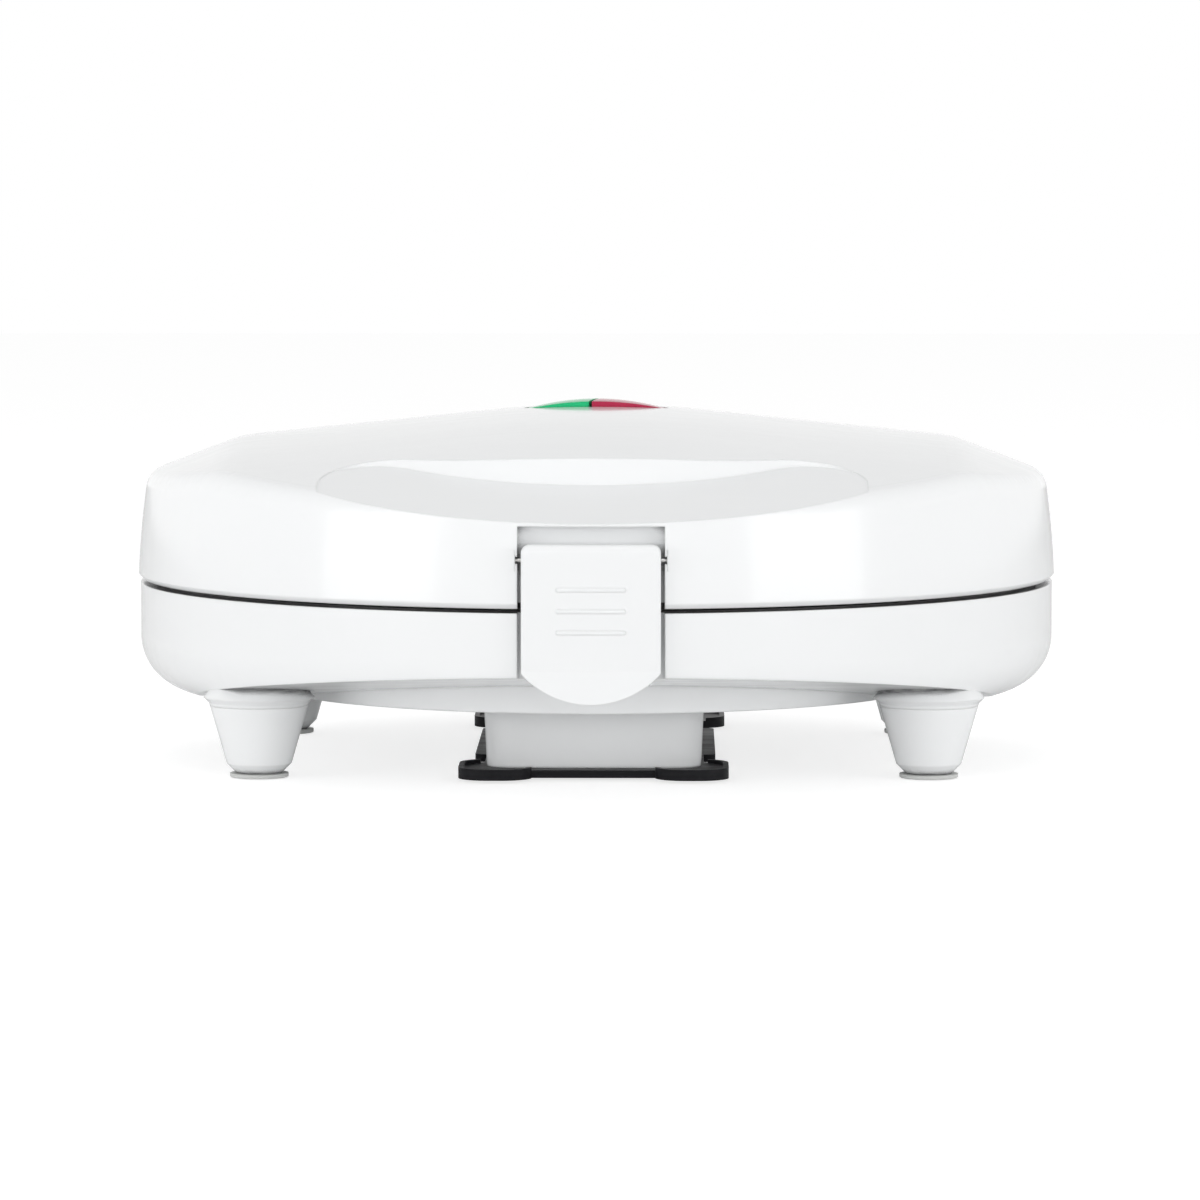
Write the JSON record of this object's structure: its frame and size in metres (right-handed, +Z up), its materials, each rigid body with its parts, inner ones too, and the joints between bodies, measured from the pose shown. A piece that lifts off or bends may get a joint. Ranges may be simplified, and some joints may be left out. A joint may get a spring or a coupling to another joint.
{
  "type": "sandwich maker",
  "caption": "Round countertop sandwich maker with a hinged lid, ridged non-stick plates, front latch, indicator lenses, cord winder and feet.",
  "frame": {"origin": "on the table, under the middle of the object's box", "axes": "+Z up, -Y towards the latch at the front, +X to the right of someone facing the latch"},
  "size_m": [0.231, 0.24, 0.0901],
  "materials": {
    "white_plastic": "glossy moulded white",
    "latch_plastic": "satin moulded white",
    "black_plastic": "satin black",
    "inlet_rubber": "soft white",
    "foot_rubber": "soft pale grey",
    "nonstick_plate": "black non-stick coating on cast metal",
    "element_steel": "heat-dulled tube",
    "zinc_steel": "zinc plated",
    "reflector_sheet": "bright rolled sheet",
    "thermostat_case": "dark moulded case",
    "ceramic_bead": "unglazed ceramic bead",
    "block_plastic": "natural moulded plastic",
    "lamp_glass": "clear glass bulb",
    "green_lens": "clear tinted green",
    "red_lens": "clear tinted red"
  },
  "bodies": {
    "base": {"base_housing": "white_plastic", "legs": "white_plastic", "foot_pads": "foot_rubber", "lower_plate": "nonstick_plate", "lower_element": "element_steel", "lower_terminals": "ceramic_bead", "lower_element_clamps": "zinc_steel", "lower_heat_shield": "reflector_sheet", "lower_plate_screws": "zinc_steel", "cord_winder_core": "white_plastic", "cord_winder_plate": "black_plastic", "winder_screws": "zinc_steel", "hinge_pins": "zinc_steel", "cord_inlet": "inlet_rubber", "terminal_block": "block_plastic"},
    "lid": {"lid_housing": "white_plastic", "upper_plate": "nonstick_plate", "upper_element": "element_steel", "upper_terminals": "ceramic_bead", "upper_element_clamps": "zinc_steel", "upper_heat_shield": "reflector_sheet", "upper_plate_screws": "zinc_steel", "thermostat": "thermostat_case", "thermal_fuse": "zinc_steel", "lamp_holder": "block_plastic", "neon_lamps": "lamp_glass", "green_lens": "green_lens", "red_lens": "red_lens", "latch_pin": "zinc_steel"},
    "latch": {"latch": "latch_plastic"}
  },
  "joints": [
    {"name": "lid_hinge", "type": "hinge", "parent": "base", "child": "lid", "pos_m": [0, 0.1155, 0.045], "axis": [-1, 0, 0], "range_deg": [0, 95]},
    {"name": "latch_pivot", "type": "hinge", "parent": "lid", "child": "latch", "pos_m": [0, -0.1125, 0.057], "axis": [-1, 0, 0], "range_deg": [0, 60]}
  ]
}
